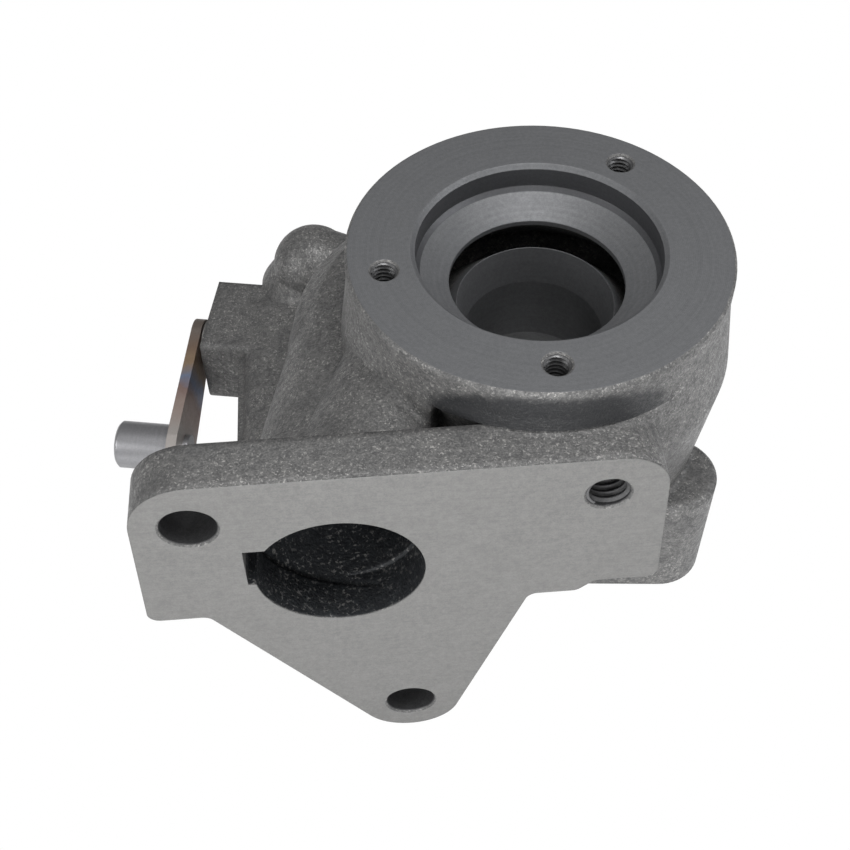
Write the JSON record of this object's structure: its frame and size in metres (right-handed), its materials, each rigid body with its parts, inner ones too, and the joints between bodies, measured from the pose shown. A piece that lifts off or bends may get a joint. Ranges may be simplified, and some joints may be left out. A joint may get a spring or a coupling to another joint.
{
  "type": "turbocharger turbine housing",
  "caption": "Cast iron turbine housing with a round bearing flange, a stud inlet flange, an outlet flange and an internal wastegate worked by a lever.",
  "frame": {"origin": "centre of the bearing flange's face, on the turbine axis", "axes": "+Z along the turbine axis, out of the bearing flange; -Y out of the inlet flange's face; X to the right when the inlet faces the viewer"},
  "size_m": [0.1393, 0.1101, 0.1091],
  "materials": {
    "casting": "sand cast with machined faces",
    "bush_steel": "turned",
    "shaft_steel": "forged, turned on its journal",
    "valve_steel": "turned",
    "washer_steel": "stamped",
    "lever_steel": "heat tinted sheet",
    "pin_steel": "bright turned"
  },
  "bodies": {
    "housing": {"turbine_housing": "casting", "shaft_bushing": "bush_steel"},
    "wastegate": {"wastegate_shaft": "shaft_steel", "wastegate_lever": "lever_steel", "lever_pin": "pin_steel", "wastegate_valve": "valve_steel", "valve_washer": "washer_steel"}
  },
  "joints": [
    {"name": "wastegate_hinge", "type": "hinge", "parent": "housing", "child": "wastegate", "pos_m": [-0.05447, 0.03422, -0.0618], "axis": [0.9816, -0.1908, 0], "range_deg": [0, 30]}
  ]
}
